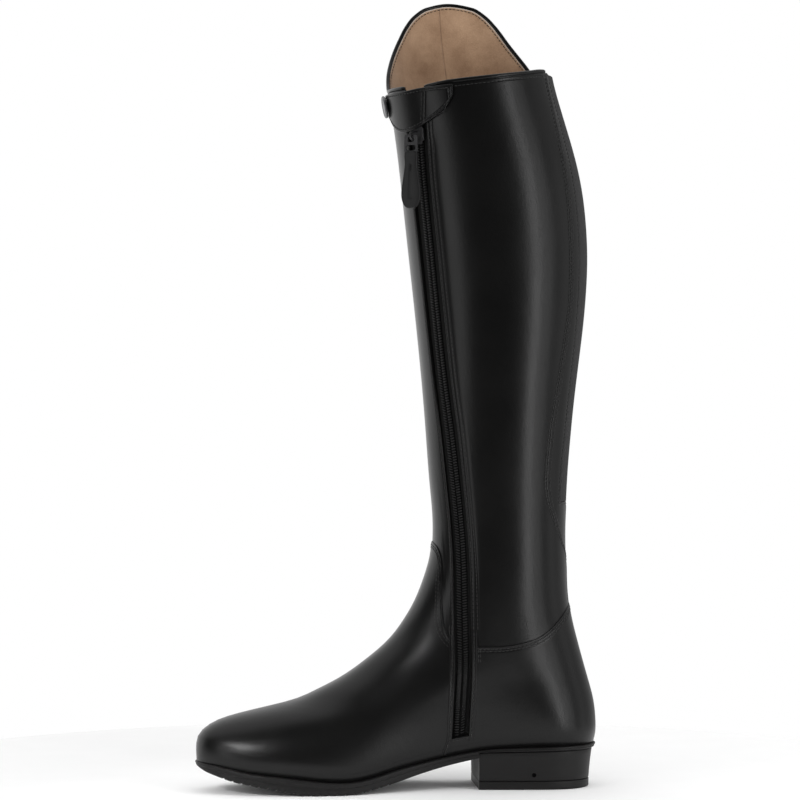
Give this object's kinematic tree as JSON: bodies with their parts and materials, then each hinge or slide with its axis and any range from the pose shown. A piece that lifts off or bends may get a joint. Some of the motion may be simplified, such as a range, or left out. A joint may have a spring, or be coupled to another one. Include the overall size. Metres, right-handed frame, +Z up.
{
  "type": "dress riding boot",
  "caption": "Right tall leather dress riding boot with a Spanish top, an inner-side zip with a hinged pull, an elastic back panel, a snap tab, a rubber sole and a block heel.",
  "frame": {"origin": "middle of the heel's face on the floor", "axes": "+Z up along the shaft, -Y toward the toe, +X toward the inner side of this right boot, where the zip is"},
  "size_m": [0.1086, 0.2716, 0.5353],
  "materials": {
    "black_leather": "smooth, semi-gloss",
    "black_elastic": "ribbed, matte",
    "black_rubber": "matte",
    "black_tape": "woven",
    "black_coil": "satin",
    "black_plastic": "satin",
    "dark_metal": "dark nickel",
    "tan_lining": "suede"
  },
  "bodies": {
    "boot": {"upper": "black_leather", "elastic_panel": "black_elastic", "zip_tape": "black_tape", "zip_coil": "black_coil", "zip_tab": "black_leather", "snap_button": "dark_metal", "collar_piping_inner": "black_leather", "collar_piping_outer": "black_leather", "outsole": "black_rubber", "heel_block": "black_rubber", "heel_top_piece": "black_rubber", "insole": "tan_lining", "zip_slider": "dark_metal"},
    "zip_pull": {"zip_pull_frame": "dark_metal", "zip_pull_grip": "black_plastic"}
  },
  "joints": [
    {"name": "zip_pull_swing", "type": "hinge", "parent": "boot", "child": "zip_pull", "pos_m": [0.03201, -0.08392, 0.43684], "axis": [-0.4695, -0.8829, 0], "range_deg": [0, 150]}
  ]
}
